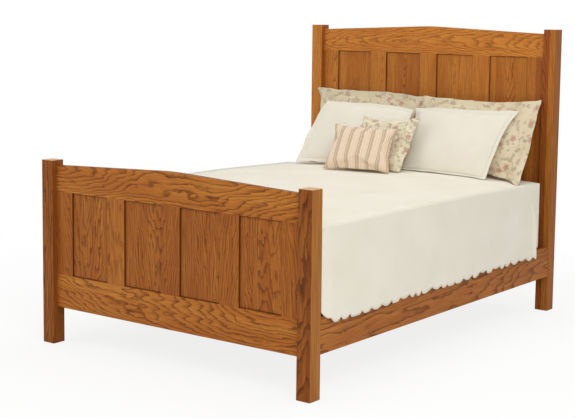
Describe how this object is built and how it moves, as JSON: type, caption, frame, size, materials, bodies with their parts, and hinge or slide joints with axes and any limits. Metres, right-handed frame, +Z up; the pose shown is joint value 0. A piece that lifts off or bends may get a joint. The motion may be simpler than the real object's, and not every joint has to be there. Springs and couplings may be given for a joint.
{
  "type": "panel bed",
  "caption": "Oak panel bed with square posts, crowned rails and flat panels, dressed with a cream coverlet, shams, pillows and cushions.",
  "frame": {"origin": "on the floor under the middle of the bed", "axes": "+X across the bed to the right seen from the foot, +Y along the bed from foot to head, +Z up"},
  "size_m": [1.6216, 2.25, 1.5256],
  "materials": {
    "oak_upright": "satin",
    "oak_lengthwise": "satin",
    "oak_panel": "satin",
    "pine": "matte",
    "zinc_steel": "satin",
    "nylon_glides": "matte",
    "leveller_plastic": "matte",
    "ticking": "matte",
    "mattress_knit": "matte",
    "cream_matelasse": "matte",
    "floral_cotton": "matte",
    "cream_cotton": "matte",
    "striped_cotton": "matte"
  },
  "bodies": {
    "frame": {"beam_brackets": "zinc_steel", "bracket_screws": "zinc_steel", "centre_beam": "pine", "centre_leg_foot": "pine", "centre_leg_head": "pine", "cleat_left": "pine", "cleat_right": "pine", "cleat_screws": "zinc_steel", "foot_post_left": "oak_upright", "foot_post_right": "oak_upright", "footboard_bottom_rail": "oak_lengthwise", "footboard_mullion_1": "oak_upright", "footboard_mullion_2": "oak_upright", "footboard_mullion_3": "oak_upright", "footboard_panel_1": "oak_panel", "footboard_panel_2": "oak_panel", "footboard_panel_3": "oak_panel", "footboard_panel_4": "oak_panel", "footboard_stile_left": "oak_upright", "footboard_stile_right": "oak_upright", "footboard_top_rail": "oak_lengthwise", "head_post_left": "oak_upright", "head_post_right": "oak_upright", "headboard_bottom_rail": "oak_lengthwise", "headboard_mullion_1": "oak_upright", "headboard_mullion_2": "oak_upright", "headboard_mullion_3": "oak_upright", "headboard_panel_1": "oak_panel", "headboard_panel_2": "oak_panel", "headboard_panel_3": "oak_panel", "headboard_panel_4": "oak_panel", "headboard_stile_left": "oak_upright", "headboard_stile_right": "oak_upright", "headboard_top_rail": "oak_lengthwise", "leg_dowels": "zinc_steel", "leg_inserts": "zinc_steel", "plate_screws": "zinc_steel", "post_glides": "nylon_glides", "post_slot_plates": "zinc_steel", "rail_hook_plates": "zinc_steel", "side_rail_left": "oak_lengthwise", "side_rail_right": "oak_lengthwise", "slat_1": "pine", "slat_2": "pine", "slat_3": "pine", "slat_4": "pine", "slat_5": "pine", "slat_screws": "zinc_steel"},
    "box_spring": {"box_spring": "ticking"},
    "mattress": {"mattress": "mattress_knit"},
    "coverlet": {"coverlet": "cream_matelasse"},
    "sham_left": {"sham_left": "floral_cotton"},
    "sham_right": {"sham_right": "floral_cotton"},
    "pillow_left": {"pillow_left": "cream_cotton"},
    "pillow_right": {"pillow_right": "cream_cotton"},
    "floral_cushion": {"floral_cushion": "floral_cotton"},
    "striped_cushion": {"striped_cushion": "striped_cotton"},
    "leveller_foot": {"leveller_foot": "leveller_plastic"},
    "leveller_head": {"leveller_head": "leveller_plastic"}
  },
  "joints": [
    {"name": "box_spring_lift", "type": "slide", "parent": "frame", "child": "box_spring", "axis": [0, 0, 1], "range_m": [0, 0.25]},
    {"name": "mattress_lift", "type": "slide", "parent": "box_spring", "child": "mattress", "axis": [0, 0, 1], "range_m": [0, 0.3]},
    {"name": "coverlet_lift", "type": "slide", "parent": "mattress", "child": "coverlet", "axis": [0, 0, 1], "range_m": [0, 0.45]},
    {"name": "sham_left_lift", "type": "slide", "parent": "coverlet", "child": "sham_left", "axis": [0, 0, 1], "range_m": [0, 0.2]},
    {"name": "sham_right_lift", "type": "slide", "parent": "sham_left", "child": "sham_right", "axis": [0, 0, 1], "range_m": [0, 0.2]},
    {"name": "pillow_left_lift", "type": "slide", "parent": "sham_right", "child": "pillow_left", "axis": [0, 0, 1], "range_m": [0, 0.2]},
    {"name": "pillow_right_lift", "type": "slide", "parent": "pillow_left", "child": "pillow_right", "axis": [0, 0, 1], "range_m": [0, 0.2]},
    {"name": "floral_cushion_lift", "type": "slide", "parent": "pillow_right", "child": "floral_cushion", "axis": [0, 0, 1], "range_m": [0, 0.2]},
    {"name": "striped_cushion_lift", "type": "slide", "parent": "floral_cushion", "child": "striped_cushion", "axis": [0, 0, 1], "range_m": [0, 0.2]},
    {"name": "leveller_foot_screw", "type": "slide", "parent": "frame", "child": "leveller_foot", "axis": [0, 0, 1], "range_m": [0, 0.012]},
    {"name": "leveller_head_screw", "type": "slide", "parent": "frame", "child": "leveller_head", "axis": [0, 0, 1], "range_m": [0, 0.012]}
  ]
}
